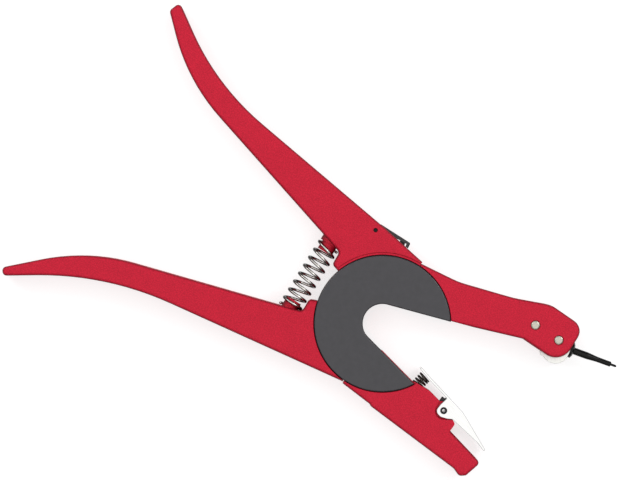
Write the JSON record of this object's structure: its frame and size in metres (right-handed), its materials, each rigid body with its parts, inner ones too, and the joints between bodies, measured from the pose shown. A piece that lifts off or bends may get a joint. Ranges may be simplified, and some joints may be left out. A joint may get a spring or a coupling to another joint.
{
  "type": "ear tag applicator",
  "caption": "Hand pliers for setting two-piece ear tags: C-shaped hub, sprung handles, swivelling pin in one jaw and a sprung tag clip on the other.",
  "frame": {"origin": "centre that both arms turn about, in the open throat, on the back face that the tool lies on", "axes": "+X out of the throat between the jaws, +Y towards the pin jaw, +Z from the back face to the front face"},
  "size_m": [0.2848, 0.1578, 0.017],
  "materials": {
    "red_powder_coat": "fine-textured red powder coat on cast aluminium",
    "black_moulded_plastic": "satin moulded glass-filled nylon",
    "zinc_plated_steel": "bright zinc plate",
    "sintered_bronze": "plain sintered bronze",
    "cast_zinc": "tumbled die-cast zinc",
    "black_oxide_steel": "oiled black oxide on hardened steel",
    "spring_steel": "drawn spring wire",
    "black_rubber": "moulded rubber",
    "bright_stainless": "bright-rolled stainless sheet"
  },
  "bodies": {
    "pin_side": {"pin_arm": "red_powder_coat", "front_cover": "black_moulded_plastic", "back_cover": "black_moulded_plastic", "cover_screws": "zinc_plated_steel", "swivel_rivet": "zinc_plated_steel", "rear_rivet": "zinc_plated_steel", "swivel_washers": "zinc_plated_steel"},
    "pin_swivel": {"pin_block": "cast_zinc", "swivel_bush": "sintered_bronze", "applicator_pin": "black_oxide_steel", "pin_collar": "black_oxide_steel"},
    "clip_side": {"clip_arm": "red_powder_coat", "clip_pivot_pin": "spring_steel", "clip_buffer": "black_rubber", "lock_pin": "zinc_plated_steel", "lock_spring": "spring_steel", "handle_spring": "spring_steel", "clip_spring": "spring_steel"},
    "clip_head": {"tag_clip": "bright_stainless"},
    "lock": {"lock_lever": "black_moulded_plastic"}
  },
  "joints": [
    {"name": "handle_close", "type": "hinge", "parent": "pin_side", "child": "clip_side", "pos_m": [0, 0, 0], "axis": [0, 0, 1], "range_deg": [0, 30], "stiffness_Nm_per_rad": 3, "springref_deg": -17.19, "deforming": ["handle_spring"]},
    {"name": "pin_flip", "type": "hinge", "parent": "pin_side", "child": "pin_swivel", "pos_m": [0.0788, 0.0366, 0], "axis": [0, 0, 1], "range_deg": [-105, 0]},
    {"name": "clip_open", "type": "hinge", "parent": "clip_side", "child": "clip_head", "pos_m": [0.0476, -0.0217, 0], "axis": [0, 0, 1], "range_deg": [0, 8], "stiffness_Nm_per_rad": 0.5, "springref_deg": -11.46, "deforming": ["clip_spring"]},
    {"name": "lock_press", "type": "hinge", "parent": "clip_side", "child": "lock", "pos_m": [-0.026, 0.0379, 0], "axis": [0, 0, 1], "range_deg": [-7, 0], "stiffness_Nm_per_rad": 0.05, "springref_deg": 11.46, "deforming": ["lock_spring"]}
  ]
}
